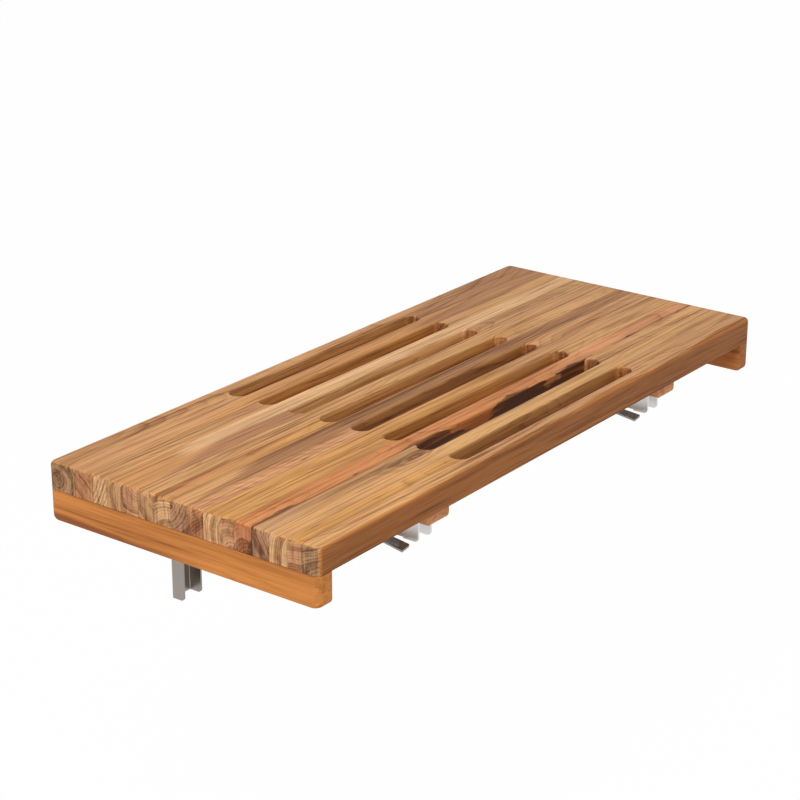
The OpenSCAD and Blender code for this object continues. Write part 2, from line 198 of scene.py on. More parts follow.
def teak_group():
    """Teak as a solid: year rings round a pith, long dark streaks, fine lines and short pores."""
    tree, given, result = new_group(
        "teak",
        [("Position", "vector", None),
         ("Light", "colour", (0.6, 0.4, 0.2, 1)), ("Dark", "colour", (0.2, 0.1, 0.05, 1)),
         ("Pith Side", "value", 0.03), ("Pith Depth", "value", -0.04),
         ("Pith Climb", "value", 0.02), ("Ring Width", "value", 0.0026),
         ("Waves", "value", 1.0), ("Streaks", "value", 0.5), ("Lines", "value", 0.5),
         ("Bands", "value", 0.15), ("Long Grain", "value", 1.0), ("Seed", "value", 0.0)],
        [("Color", "colour"), ("Roughness", "value"), ("Height", "value")])
    place, seed = given["Position"], given["Seed"]
    part = put(tree, "ShaderNodeSeparateXYZ", {0: place}).outputs
    shift = put(tree, "ShaderNodeCombineXYZ", {
        "X": times(tree, seed, 7.31), "Y": times(tree, seed, 3.77),
        "Z": times(tree, seed, 5.19)}).outputs[0]

    # The rings: the pith wanders and climbs along the plank, so they cut its faces in long curves
    slow = stretched_noise(tree, place, 5.0, 14.0, 1.0, offset=shift)
    quick = stretched_noise(tree, place, 16.0, 90.0, 2.0, offset=shift)
    sway = times(tree, less(tree, slow, 0.5), given["Waves"], PITH_SWAY)
    climb = times(tree, part["X"], given["Pith Climb"])
    side = add(tree, less(tree, part["Y"], given["Pith Side"]), sway)
    depth = add(tree, less(tree, part["Z"], given["Pith Depth"]), sway, climb)
    radius = calc(tree, "SQRT", add(tree, times(tree, side, side), times(tree, depth, depth)))
    years = add(tree, calc(tree, "DIVIDE", radius, given["Ring Width"]),
                times(tree, quick, given["Waves"], 1.1))

    # Each year ends in a dark line of its own strength, and a few dark years together make a band
    year_part = calc(tree, "FRACT", years)
    year = add(tree, calc(tree, "FLOOR", years), seed)
    year_luck = put(tree, "ShaderNodeTexWhiteNoise", {"W": year}, noise_dimensions="1D")
    late = times(tree, calc(tree, "POWER", year_part, 4.0),
                 spread(tree, year_luck.outputs["Value"], 0.1, 1.0, 0.1, 1.0))
    early = times(tree, spread(tree, year_part, 0.0, 0.14, 1.0, 0.0), EARLY_SHARE)
    lines = times(tree, add(tree, late, early), given["Lines"])
    band_place = add(tree, calc(tree, "DIVIDE", years, YEARS_TO_A_BAND), times(tree, seed, 3.1))
    band = put(tree, "ShaderNodeTexNoise", {"W": band_place, "Scale": 1.0, "Detail": 2.0},
               noise_dimensions="1D").outputs["Fac"]
    bands = times(tree, spread(tree, band, 0.46, 0.62), given["Bands"])

    # The grain: broad dark streaks, finer ones between them, and open pores like short scratches
    broad = stretched_noise(tree, place, 3.2, 85.0, 3.0, 0.6, offset=shift)
    streaks = times(tree, spread(tree, broad, 0.48, 0.70), given["Streaks"])
    thread = stretched_noise(tree, place, 6.0, 330.0, 2.0, 0.5, offset=shift)
    mid = stretched_noise(tree, place, 9.0, 260.0, 3.0, 0.6, offset=shift)
    fibre = stretched_noise(tree, place, 16.0, 820.0, 2.0, 0.6, offset=shift)
    pores = stretched_noise(tree, place, 55.0, 1500.0, 1.0, 0.5, offset=shift)
    pores = spread(tree, pores, 0.6, 0.74)
    grain = add(tree, times(tree, less(tree, mid, 0.5), 1.6),
                times(tree, less(tree, fibre, 0.5), 0.9),
                times(tree, spread(tree, thread, 0.54, 0.66), 0.40))
    shade = add(tree, times(tree, lines, LINE_STRENGTH), times(tree, streaks, 0.95), bands,
                times(tree, grain, given["Long Grain"]), times(tree, pores, 0.16))
    shade = calc(tree, "ADD", shade, 0.04, clamp=True)

    # Faint clouds lie over the light wood, and the dark wood is a little rougher and lower
    cloud = stretched_noise(tree, place, 6.0, 30.0, 2.0, offset=shift)
    cloud = spread(tree, cloud, 0.25, 0.75, 0.90, 1.10)
    lit = put(tree, "ShaderNodeVectorMath", {0: given["Light"], "Scale": cloud},
              operation="SCALE").outputs[0]
    tree.links.new(blend_colour(tree, shade, lit, given["Dark"]), result["Color"])
    tree.links.new(add(tree, times(tree, shade, 0.12), times(tree, fibre, 0.16)),
                   result["Roughness"])
    tree.links.new(add(tree, times(tree, pores, -0.6), times(tree, lines, -0.35),
                       times(tree, fibre, 0.5)), result["Height"])
    return tree


TEAK = teak_group()
WOOD_SHINE, WOOD_DULLNESS = 0.2, 0.44


def wood_material(name):
    """A new material with a dry oiled wood surface, ready for its colour."""
    made = bpy.data.materials.new(name)
    made.use_nodes = True
    surface = made.node_tree.nodes["Principled BSDF"]
    surface.inputs["Specular IOR Level"].default_value = WOOD_SHINE
    surface.inputs["Metallic"].default_value = 0.0
    return made, made.node_tree, surface


def finish_wood(tree, surface, wood, colour, grain_depth):
    """Joins a teak group to the surface: its colour, a satin finish and a grain to the touch."""
    tree.links.new(colour, surface.inputs["Base Color"])
    tree.links.new(add(tree, wood.outputs["Roughness"], WOOD_DULLNESS), surface.inputs["Roughness"])
    bump = put(tree, "ShaderNodeBump",
               {"Height": wood.outputs["Height"], "Strength": 0.6, "Distance": grain_depth})
    tree.links.new(bump.outputs[0], surface.inputs["Normal"])


TONES = {
    "tan": (188, 137, 88), "honey": (190, 134, 79), "straw": (195, 145, 92),
    "cream": (214, 168, 121), "umber": (166, 115, 76), "walnut": (159, 111, 67),
    "rose": (198, 143, 96), "gold": (196, 141, 78), "orange": (195, 126, 71),
    "smoke": (182, 135, 86), "butter": (201, 152, 96), "bark": (166, 116, 73),
    "ash": (158, 121, 88), "rust": (172, 117, 78), "ivory": (202, 157, 111),
    "clay": (180, 131, 92), "cocoa": (158, 116, 84), "brick": (167, 106, 68),
    "dune": (182, 136, 93), "coral": (197, 135, 88), "sand": (203, 151, 96),
}
# The strips from the wall to the front: each one's width in mm, its tones at the left end, in the
# middle and at the right end, the two places along the seat where they change, the tone of its
# end grain, how streaked it is, and how steeply its pith climbs
Strip = namedtuple("Strip", "width left middle right change_1 change_2 end_grain streaks climb")
STRIPS = [Strip(*row) for row in (
    (33, "tan", "tan", "bark", 0.20, 0.74, "ash", 0.45, 0.06),
    (21, "tan", "honey", "bark", 0.25, 0.74, "rust", 0.45, 0.03),
    (17, "straw", "tan", "straw", 0.20, 0.72, "ivory", 0.40, 0.02),
    (18, "honey", "cream", "cream", 0.12, 0.60, "dune", 0.15, 0.01),
    (18, "honey", "umber", "smoke", 0.10, 0.50, "clay", 0.45, 0.12),
    (18, "straw", "straw", "tan", 0.30, 0.75, "dune", 0.30, 0.02),
    (19, "honey", "gold", "straw", 0.20, 0.72, "ivory", 0.40, 0.03),
    (18, "straw", "walnut", "walnut", 0.11, 0.60, "cocoa", 0.55, 0.07),
    (18, "rose", "rose", "tan", 0.30, 0.45, "rust", 0.35, 0.05),
    (19, "gold", "gold", "tan", 0.30, 0.62, "ivory", 0.25, 0.02),
    (15, "gold", "gold", "straw", 0.30, 0.62, "clay", 0.25, 0.02),
    (20, "orange", "orange", "coral", 0.30, 0.62, "brick", 0.25, 0.05),
    (18, "dune", "smoke", "straw", 0.10, 0.50, "cocoa", 0.42, 0.14),
    (18, "sand", "butter", "straw", 0.28, 0.66, "ivory", 0.35, 0.03),
    (16, "gold", "gold", "tan", 0.25, 0.70, "clay", 0.25, 0.02),
    (17, "sand", "tan", "tan", 0.30, 0.60, "ash", 0.35, 0.03),
)]
BOARD_LOW, BOARD_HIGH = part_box("seat_board")
BOARD_DEPTH = BOARD_HIGH.y - BOARD_LOW.y
BOARD_LENGTH = BOARD_HIGH.x - BOARD_LOW.x


def strip_ramp(tree, across, colours):
    """Turns a place across the board, 0 at the wall and 1 at the front, into its strip's colour."""
    made = put(tree, "ShaderNodeValToRGB", {"Fac": across})
    made.color_ramp.interpolation = "CONSTANT"
    stops = made.color_ramp.elements
    stops.remove(stops[1])
    total = sum(strip.width for strip in STRIPS)
    start = 0.0
    for strip, colour in zip(STRIPS, colours):
        stop = stops[0] if start == 0.0 else stops.new(start / total)
        stop.color = colour
        start += strip.width
    return made.outputs["Color"]


def three(tree, colour):
    """Takes a colour that carries three numbers apart."""
    return put(tree, "ShaderNodeSeparateColor", {0: colour}).outputs


def strip_places():
    """Each strip's middle and half its width, as shares of the board, and a number of its own."""
    total, start, places = sum(strip.width for strip in STRIPS), 0.0, []
    for number, strip in enumerate(STRIPS):
        own = (number * 7 % len(STRIPS)) / len(STRIPS)
        places.append(((start + strip.width / 2) / total, strip.width / 2 / total, own, 1.0))
        start += strip.width
    return places


# What the dark lines keep of the red, green and blue of the light wood beside them
DARK_LINES = (0.42, 0.30, 0.22)


def tinted(tree, colour, share):
    """A colour whose red, green and blue are each taken times a share of their own."""
    return blend_colour(tree, 1.0, colour, (*share, 1.0), "MULTIPLY")


# Where a point of the board lies: its metres from the wall edge and below the top, its share of
# the seat's length, its place across its strip from -1 to 1, and 1 where it lies on end grain
Spot = namedtuple("Spot", "position x from_wall from_top along in_strip end_face")


def strip_tone(tree, spot, across, habits):
    """Each strip's tone changes twice along the seat, on a slant; its end grain has its own."""
    drift = add(tree, spot.along, times(tree, spot.in_strip, 0.05),
                times(tree, stretched_noise(tree, spot.position, 3.0, 60.0, 2.0), 0.3))
    left, middle, right, end_grain = [
        strip_ramp(tree, across, [rgb(*TONES[getattr(strip, place)]) for strip in STRIPS])
        for place in ("left", "middle", "right", "end_grain")]
    past_first = spread(tree, less(tree, drift, habits["Red"]), 0.12, 0.18)
    past_second = spread(tree, less(tree, drift, habits["Green"]), 0.09, 0.21)
    tone = blend_colour(tree, past_first, left, middle)
    tone = blend_colour(tree, past_second, tone, right)
    return blend_colour(tree, spot.end_face, tone, end_grain)


SLOTS_FROM, SLOTS_TO = 0.008, 0.295
# Tints for the slot walls: a deeper orange high up, partly oil and partly painted bounce light,
# painted shade low down, and darker round ends
UPPER_WALL_OIL_AND_BOUNCE, LOW_WALL_PAINTED_SHADE, ROUND_END_DARK = (1.0, 0.88, 0.64), (0.62, 0.50, 0.36), (0.76, 0.64, 0.54)


def slot_walls(tree, spot, upright, tone):
    """The routed walls of the slots: a deeper orange near the top, partly oil and partly painted
    bounce light, painted shade that darkens them low down, and round ends darker still.
    """
    routed = times(tree, upright, between(tree, spot.from_wall, SLOTS_FROM, SLOTS_TO, 0.002),
                   spread(tree, spot.along, 0.02, 0.03))
    # The upper wall is tinted partly for oil and partly as painted bounce light, and the wall
    # darkens low down as painted shade
    upper = times(tree, routed, spread(tree, spot.from_top, 0.001, 0.006))
    tone = blend_colour(tree, upper, tone, tinted(tree, tone, UPPER_WALL_OIL_AND_BOUNCE))
    lower = times(tree, routed, spread(tree, spot.from_top, 0.004, 0.016))
    tone = blend_colour(tree, lower, tone, tinted(tree, tone, LOW_WALL_PAINTED_SHADE))
    round_end = times(tree, routed, spot.end_face)
    return blend_colour(tree, round_end, tone, tinted(tree, tone, ROUND_END_DARK))


# The front face's colour: dark heartwood, darkened further as painted shade of the front side
FRONT_EDGE, FRONT_FROM = (169, 107, 51), 0.280
LEAST_CLIMB = 0.0016


def front_edge(tree, spot, tone):
    """The front face is dark heartwood, darkened further as painted shade of the front side; the
    dark colour climbs a little onto the top in a wavy line.
    """
    rise = add(tree, times(tree, stretched_noise(tree, spot.position, 7.0, 9.0, 2.0), 0.022),
               spread(tree, spot.along, 0.35, 0.95, -0.011, -0.006))
    rise = calc(tree, "MAXIMUM", rise, LEAST_CLIMB)
    front = add(tree, spot.from_wall, rise)
    front = spread(tree, front, BOARD_DEPTH - 0.0006, BOARD_DEPTH + 0.0012)
    front = times(tree, front, spread(tree, spot.from_wall, FRONT_FROM, FRONT_FROM + 0.006),
                  less(tree, 1.0, spot.end_face))
    return blend_colour(tree, front, tone, rgb(*FRONT_EDGE))


SAW_DARK = (0.42, 0.33, 0.28)


def saw_marks(tree, spot, colour):
    """The saw leaves fine upright marks on the end grain, some dark and some pale."""
    fine = put(tree, "ShaderNodeVectorMath", {0: spot.position, 1: (8.0, 330.0, 34.0)},
               operation="MULTIPLY").outputs[0]
    sawn = put(tree, "ShaderNodeTexNoise",
               {"Vector": fine, "Scale": 1.0, "Detail": 3.0, "Roughness": 0.6}).outputs["Fac"]
    dark = times(tree, spread(tree, sawn, 0.48, 0.70), spot.end_face, 0.60)
    colour = blend_colour(tree, dark, colour, tinted(tree, colour, SAW_DARK))
    pale = times(tree, spread(tree, sawn, 0.30, 0.46, 1.0, 0.0), spot.end_face, 0.35)
    return blend_colour(tree, pale, colour, rgb(*TONES["cream"]))


ROSE_FROM, ROSE_TO = 0.162, 0.180
WAVE_SLANT, WAVES, WAVE_DARK = 1.5, 300.0, (0.55, 0.42, 0.36)


def slanting_figure(tree, spot, colour):
    """Slanting dark waves in the left part of the rose-coloured strip."""
    wave = add(tree, less(tree, spot.x, times(tree, spot.from_wall, WAVE_SLANT)),
               times(tree, stretched_noise(tree, spot.position, 14.0, 30.0, 3.0), 0.075))
    figure = spread(tree, calc(tree, "SINE", times(tree, wave, WAVES)), -0.3, 1.0, 0.0, 0.30)
    figure = times(tree, figure, between(tree, spot.from_wall, ROSE_FROM, ROSE_TO, 0.0006),
                   spread(tree, spot.along, 0.26, 0.34, 1.0, 0.0))
    return blend_colour(tree, figure, colour, tinted(tree, colour, WAVE_DARK))


KNOT_X, KNOT_OUT, KNOT_STRETCH = -0.158, 0.250, 0.26
KNOT_CORE, KNOT_EDGE, KNOT_RINGS, KNOT_DARK = 0.007, 0.022, 1300.0, (0.36, 0.26, 0.22)
ORANGE_FRONT = 0.234


def knot(tree, spot, colour):
    """A long knot in the strip in front of the orange one, with the grain turned round it."""
    off_x = times(tree, less(tree, spot.x, KNOT_X), KNOT_STRETCH)
    off_y = less(tree, spot.from_wall, KNOT_OUT)
    far = calc(tree, "SQRT", add(tree, times(tree, off_x, off_x), times(tree, off_y, off_y)))
    far = add(tree, far, times(tree, stretched_noise(tree, spot.position, 30.0, 90.0, 2.0), 0.008))
    rings = add(tree, times(tree, calc(tree, "SINE", times(tree, far, KNOT_RINGS)), 0.34), 0.46)
    share = times(tree, spread(tree, far, KNOT_CORE, KNOT_EDGE, 1.0, 0.0),
                  spread(tree, spot.from_wall, ORANGE_FRONT - 0.0002, ORANGE_FRONT + 0.0003), rings)
    return blend_colour(tree, share, colour, tinted(tree, colour, KNOT_DARK))


HEARTWOOD = (86, 47, 19)


def dark_heart(tree, spot, colour):
    """Nearly black heartwood with a ragged border along the front of the orange strip."""
    ragged = stretched_noise(tree, spot.position, 14.0, 60.0, 3.0)
    ragged = times(tree, less(tree, ragged, 0.5), 0.028)
    beside_slot = times(tree, spread(tree, spot.along, 0.27, 0.31),
                        spread(tree, spot.along, 0.71, 0.74, 1.0, 0.0), -0.0009)
    border = add(tree, ragged, times(tree, spot.from_top, -0.30), beside_slot,
                 ORANGE_FRONT - 0.0004)
    broken = stretched_noise(tree, spot.position, 9.0, 240.0, 3.0)
    in_orange = spread(tree, spot.from_wall, ORANGE_FRONT - 0.0001, ORANGE_FRONT + 0.0003, 1.0, 0.0)
    heart = times(tree, spread(tree, less(tree, spot.from_wall, border), 0.0, 0.0012),
                  in_orange, spread(tree, broken, 0.34, 0.54, 0.45, 1.0))
    return blend_colour(tree, heart, colour, rgb(*HEARTWOOD))


BOARD_LIGHT, GLUE_LINE, BOARD_GRAIN = (1.22, 1.22, 1.20), (0.4, 0.3, 0.25), 0.00012


def board_material():
    """Sixteen kinds of teak side by side, with the marks that only some of the strips have."""
    made, tree, surface = wood_material("board_teak")
    position = put(tree, "ShaderNodeTexCoord").outputs["Object"]
    part = put(tree, "ShaderNodeSeparateXYZ", {0: position}).outputs
    facing = put(tree, "ShaderNodeNewGeometry").outputs["True Normal"]
    normal = put(tree, "ShaderNodeSeparateXYZ", {0: facing}).outputs
    from_wall = less(tree, BOARD_HIGH.y, part["Y"])
    across = calc(tree, "DIVIDE", from_wall, BOARD_DEPTH, clamp=True)
    habits = three(tree, strip_ramp(
        tree, across, [(s.change_1, s.change_2, s.streaks, 1.0) for s in STRIPS]))
    places = three(tree, strip_ramp(tree, across, strip_places()))
    spot = Spot(position, part["X"], from_wall,
                from_top=less(tree, BOARD_HIGH.z, part["Z"]),
                along=calc(tree, "DIVIDE", less(tree, part["X"], BOARD_LOW.x), BOARD_LENGTH),
                in_strip=calc(tree, "DIVIDE", less(tree, across, places["Red"]), places["Green"]),
                end_face=spread(tree, calc(tree, "ABSOLUTE", normal["X"]), 0.45, 0.85))
    upright = spread(tree, calc(tree, "ABSOLUTE", normal["Z"]), 0.3, 0.8, 1.0, 0.0)
    tone = strip_tone(tree, spot, across, habits)
    tone = front_edge(tree, spot, slot_walls(tree, spot, upright, tone))

    # Each strip's pith lies below it or beside it, at a distance and angle of its own
    luck = put(tree, "ShaderNodeTexWhiteNoise", {"W": times(tree, places["Blue"], 97.0)},
               noise_dimensions="1D").outputs["Color"]
    luck = three(tree, luck)
    angle = times(tree, luck["Red"], -math.pi)
    reach = add(tree, times(tree, luck["Green"], luck["Green"], 0.06), 0.022)
    middle = less(tree, BOARD_HIGH.y, times(tree, places["Red"], BOARD_DEPTH))
    wood = put(tree, "ShaderNodeGroup", {
        "Position": position,
        "Light": tinted(tree, tone, BOARD_LIGHT),
        "Dark": tinted(tree, tone, DARK_LINES),
        "Pith Side": less(tree, middle, times(tree, reach, calc(tree, "COSINE", angle))),
        "Pith Depth": add(tree, times(tree, reach, calc(tree, "SINE", angle)),
                          (BOARD_LOW.z + BOARD_HIGH.z) / 2),
        "Pith Climb": strip_ramp(tree, across, [(s.climb, s.climb, s.climb, 1.0) for s in STRIPS]),
        "Ring Width": add(tree, times(tree, luck["Blue"], 0.0020), 0.0020),
        "Streaks": habits["Blue"],
        "Lines": spread(tree, spot.end_face, 0.0, 1.0, 0.55, 1.0),
        "Bands": spread(tree, spot.end_face, 0.0, 1.0, 0.12, 0.55),
        "Long Grain": spread(tree, spot.end_face, 0.0, 1.0, 1.0, 0.35),
        "Seed": times(tree, places["Blue"], 31.0)}, node_tree=TEAK)

    colour = wood.outputs["Color"]
    for mark in (saw_marks, slanting_figure, knot, dark_heart):
        colour = mark(tree, spot, colour)
    glue_line = spread(tree, calc(tree, "ABSOLUTE", spot.in_strip), 0.93, 1.0, 0.0, 0.42)
    colour = blend_colour(tree, glue_line, colour, tinted(tree, colour, GLUE_LINE))
    finish_wood(tree, surface, wood, colour, BOARD_GRAIN)
    return made


def dress(obj, material):
    """Gives an object one material."""
    obj.data.materials.clear()
    obj.data.materials.append(material)


dress(nodes["seat_board"], board_material())


# ---- End aprons and their dowels ----
# A teak bar stands under each end of the board, flush with it, glued and held by three dowels.
# It is one plain piece of orange-brown wood with its grain across the seat, and eased edges.
CORNER_STEPS, EASE_STEPS, LOW_CORNER_STEPS = 9, 3, 8


def apron_piece(side, outer_x, inner_x, low, high):
    """The bar, in rings from its outer face inwards; its two outer corners follow the board's."""
    def inset(radius, into):
        return radius - math.sqrt(max(0.0, radius ** 2 - max(0.0, radius - into) ** 2))

    thick = abs(inner_x - outer_x)
    cuts = [APRON_CORNER * (1 - math.cos(math.pi / 2 * n / CORNER_STEPS))
            for n in range(CORNER_STEPS + 1)]
    cuts += [thick - APRON_EASE * (1 - math.sin(math.pi / 2 * n / EASE_STEPS))
             for n in range(EASE_STEPS + 1)]
    work, rings = bmesh.new(), []
    for into in cuts:
        back = thick - into
        in_y = max(inset(APRON_CORNER, into), inset(APRON_EASE, back))
        in_z = max(inset(APRON_LOW_EDGE, into), inset(APRON_EASE, back))
        x = outer_x + (inner_x - outer_x) / thick * into
        ring = [(low.y + in_y, high.z), (high.y - in_y, high.z)]
        for sign, middle_y in ((1, high.y - in_y - LOW_CORNER), (-1, low.y + in_y + LOW_CORNER)):
            for step in range(LOW_CORNER_STEPS + 1):
                share = step / LOW_CORNER_STEPS
                angle = math.pi / 2 * (share if sign > 0 else 1 - share)
                ring.append((middle_y + sign * LOW_CORNER * math.cos(angle),
                             low.z + in_z + LOW_CORNER * (1 - math.sin(angle))))
        rings.append([work.verts.new((x, y, z)) for y, z in ring])
    for first, second in zip(rings, rings[1:]):
        for n in range(len(first)):
            m = (n + 1) % len(first)
            work.faces.new((first[n], first[m], second[m], second[n]))
    work.faces.new(rings[0])
    work.faces.new(rings[-1])
    bmesh.ops.recalc_face_normals(work, faces=work.faces)
    for face in work.faces:
        face.smooth = True
    for edge in work.edges:
        if edge.calc_face_angle(0.0) > APRON_CREASE:
            edge.smooth = False
    mesh = bpy.data.meshes.new(side + "_apron_bar")
    work.to_mesh(mesh)
    work.free()
    made = bpy.data.objects.new(side + "_apron_bar", mesh)
    bpy.context.scene.collection.objects.link(made)
    made.modifiers.new("even_shading", "WEIGHTED_NORMAL").keep_sharp = True
    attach(made, nodes[side + "_apron"]["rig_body"])
    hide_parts(side + "_apron")
    return made


BAR_LIGHT, BAR_GRAIN = 1.16, 0.0001


def bar_material(name, tone, seed, pith_side, pith_depth, streaks, lines):
    """Teak whose grain runs across the seat, along Y."""
    made, tree, surface = wood_material(name)
    position = put(tree, "ShaderNodeTexCoord").outputs["Object"]
    part = put(tree, "ShaderNodeSeparateXYZ", {0: position}).outputs
    turned = put(tree, "ShaderNodeCombineXYZ",
                 {"X": part["Y"], "Y": part["X"], "Z": part["Z"]}).outputs[0]
    colour = rgb(*tone)[:3]
    wood = put(tree, "ShaderNodeGroup", {
        "Position": turned,
        "Light": (*(level * BAR_LIGHT for level in colour), 1.0),
        "Dark": (*(level * kept for level, kept in zip(colour, DARK_LINES)), 1.0),
        "Pith Side": pith_side, "Pith Depth": pith_depth, "Pith Climb": 0.03,
        "Ring Width": 0.0034, "Waves": 0.5, "Streaks": streaks, "Lines": lines,
        "Bands": 0.06, "Long Grain": 0.62, "Seed": seed}, node_tree=TEAK)
    finish_wood(tree, surface, wood, wood.outputs["Color"], BAR_GRAIN)
    return made, tree, surface, wood, part


APRON_CORNER, LOW_CORNER, APRON_LOW_EDGE, APRON_EASE = 0.007, 0.005, 0.002, 0.0012
APRON_CREASE = math.radians(50)
# The right bar's darker tone is painted shade, standing for the shade under the far end of the seat
APRON_TONES = {"left": (192, 122, 58), "right": (164, 101, 50)}
APRON_FOOT, DOWEL_TONE = (122, 60, 30), (190, 134, 86)
for number, side in enumerate(("left", "right")):
    low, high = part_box(side + "_apron")
    outer_x, inner_x = ((low.x, high.x), (high.x, low.x))[number]
    apron = apron_piece(side, outer_x, inner_x, low, high)
    apron_teak, tree, surface, wood, part = bar_material(
        side + "_apron_teak", APRON_TONES[side], seed=3.1 + 4 * number,
        pith_side=(low.x + high.x) / 2 + 0.11, pith_depth=low.z - 0.02, streaks=0.35, lines=0.3)
    # Red-brown heartwood runs along the foot of the bar, and thins out towards the front
    position = put(tree, "ShaderNodeTexCoord").outputs["Object"]
    above_foot = add(tree, less(tree, part["Z"], low.z),
                     times(tree, stretched_noise(tree, position, 12.0, 9.0, 3.0), 0.010))
    foot = times(tree, spread(tree, above_foot, 0.0088, 0.0132, 0.80, 0.0),
                 spread(tree, part["Y"], low.y + 0.10, low.y + 0.22))
    tree.links.new(blend_colour(tree, foot, wood.outputs["Color"], rgb(*APRON_FOOT)),
                   surface.inputs["Base Color"])
    dress(apron, apron_teak)
dowel_teak = bar_material("dowel_teak", DOWEL_TONE, seed=1.0, pith_side=0.0, pith_depth=0.0,
                          streaks=0.3, lines=0.3)[0]
dress(nodes["apron_dowels"], dowel_teak)


# ---- Battens and their screws ----
# A flat teak batten lies across the underside above each bracket and ties the strips together.
# Four countersunk stainless screws hold it from below; their heads have a star recess.
SAME_POINT, FLAT_DEGREES, SHARP_DEGREES, EASE_TURNS = 1e-6, 0.4, 35.0, 2


def eased(name, width):
    """A copy of a CAD node whose sharp edges are rounded off, which takes the node's place."""
    mesh = bpy.data.meshes.new(name + "_eased")
    work = bmesh.new()
    work.from_mesh(nodes[name].data)
    bmesh.ops.remove_doubles(work, verts=work.verts, dist=SAME_POINT)
    bmesh.ops.dissolve_limit(work, angle_limit=math.radians(FLAT_DEGREES), verts=work.verts,
                             edges=work.edges)
    edges = [edge for edge in work.edges
             if edge.is_manifold and edge.calc_face_angle(0.0) > math.radians(SHARP_DEGREES)]
    bmesh.ops.bevel(work, geom=edges, offset=width, segments=EASE_TURNS, profile=0.5,
                    affect="EDGES", clamp_overlap=True)
    for face in work.faces:
        face.smooth = True
    work.to_mesh(mesh)
    work.free()
    made = bpy.data.objects.new(name + "_eased", mesh)
    bpy.context.scene.collection.objects.link(made)
    made.modifiers.new("even_shading", "WEIGHTED_NORMAL").keep_sharp = True
    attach(made, nodes[name]["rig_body"])
    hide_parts(name)
    return made


BATTEN_EASE, BATTEN_TONE = 0.0006, (204, 141, 94)
for number, side in enumerate(("left", "right")):
    batten = eased(side + "_batten", BATTEN_EASE)
    low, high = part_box(side + "_batten")
    dress(batten, bar_material(side + "_batten_teak", BATTEN_TONE, seed=8.3 + 3 * number,
                               pith_side=(low.x + high.x) / 2, pith_depth=low.z - 0.05,
                               streaks=0.4, lines=0.5)[0])


def steel_group():
    """Rolled stainless sheet: fine streaks along the rolling direction and faint cloudy wear."""
    tree, given, result = new_group(
        "rolled_steel",
        [("Position", "vector", None), ("Streak", "value", 1.0),
         ("Tint", "colour", (0.6, 0.6, 0.6, 1))],
        [("Color", "colour"), ("Roughness", "value"), ("Height", "value")])
    fine = stretched_noise(tree, given["Position"], 40.0, 2600.0, 2.0)
    cloud = stretched_noise(tree, given["Position"], 25.0, 40.0, 3.0)
    shade = add(tree, times(tree, less(tree, fine, 0.5), 0.35),
                times(tree, less(tree, cloud, 0.5), 0.4))
    bright = add(tree, 1.0, times(tree, shade, given["Streak"]))
    colour = put(tree, "ShaderNodeVectorMath", {0: given["Tint"], "Scale": bright},
                 operation="SCALE").outputs[0]
    tree.links.new(colour, result["Color"])
    tree.links.new(times(tree, add(tree, fine, times(tree, cloud, 0.6)), given["Streak"]),
                   result["Roughness"])
    tree.links.new(fine, result["Height"])
    return tree


STEEL = steel_group()
ROLLING_DEPTH = 0.00003


def steel_material(name, tint, rough, uneven, streak, grain_along, metallic=1.0):
    """Stainless steel whose rolling lines run along one axis of the bench."""
    made = bpy.data.materials.new(name)
    made.use_nodes = True
    tree = made.node_tree
    surface = tree.nodes["Principled BSDF"]
    surface.inputs["Metallic"].default_value = metallic
    position = put(tree, "ShaderNodeTexCoord").outputs["Object"]
    part = put(tree, "ShaderNodeSeparateXYZ", {0: position}).outputs
    order = {"X": "XYZ", "Y": "YXZ", "Z": "ZXY"}[grain_along]
    turned = put(tree, "ShaderNodeCombineXYZ",
                 {"X": part[order[0]], "Y": part[order[1]], "Z": part[order[2]]}).outputs[0]
    metal = put(tree, "ShaderNodeGroup", {"Position": turned, "Streak": streak, "Tint": tint},
                node_tree=STEEL)
    tree.links.new(metal.outputs["Color"], surface.inputs["Base Color"])
    tree.links.new(add(tree, times(tree, metal.outputs["Roughness"], uneven), rough),
                   surface.inputs["Roughness"])
    bump = put(tree, "ShaderNodeBump",
               {"Height": metal.outputs["Height"], "Strength": 0.25, "Distance": ROLLING_DEPTH})
    tree.links.new(bump.outputs[0], surface.inputs["Normal"])
    return made


BRIGHT_STEEL = steel_material("turned_steel", rgb(214, 211, 207), rough=0.16, uneven=0.08,
                              streak=0.6, grain_along="X")
RECESS_RADIUS, RECESS_DEPTH, RECESS_LOBES, POINTS_TO_A_LOBE = 0.0021, 0.0013, 6, 6
LOBE_MIDDLE, LOBE_WAVE = 0.86, 0.14


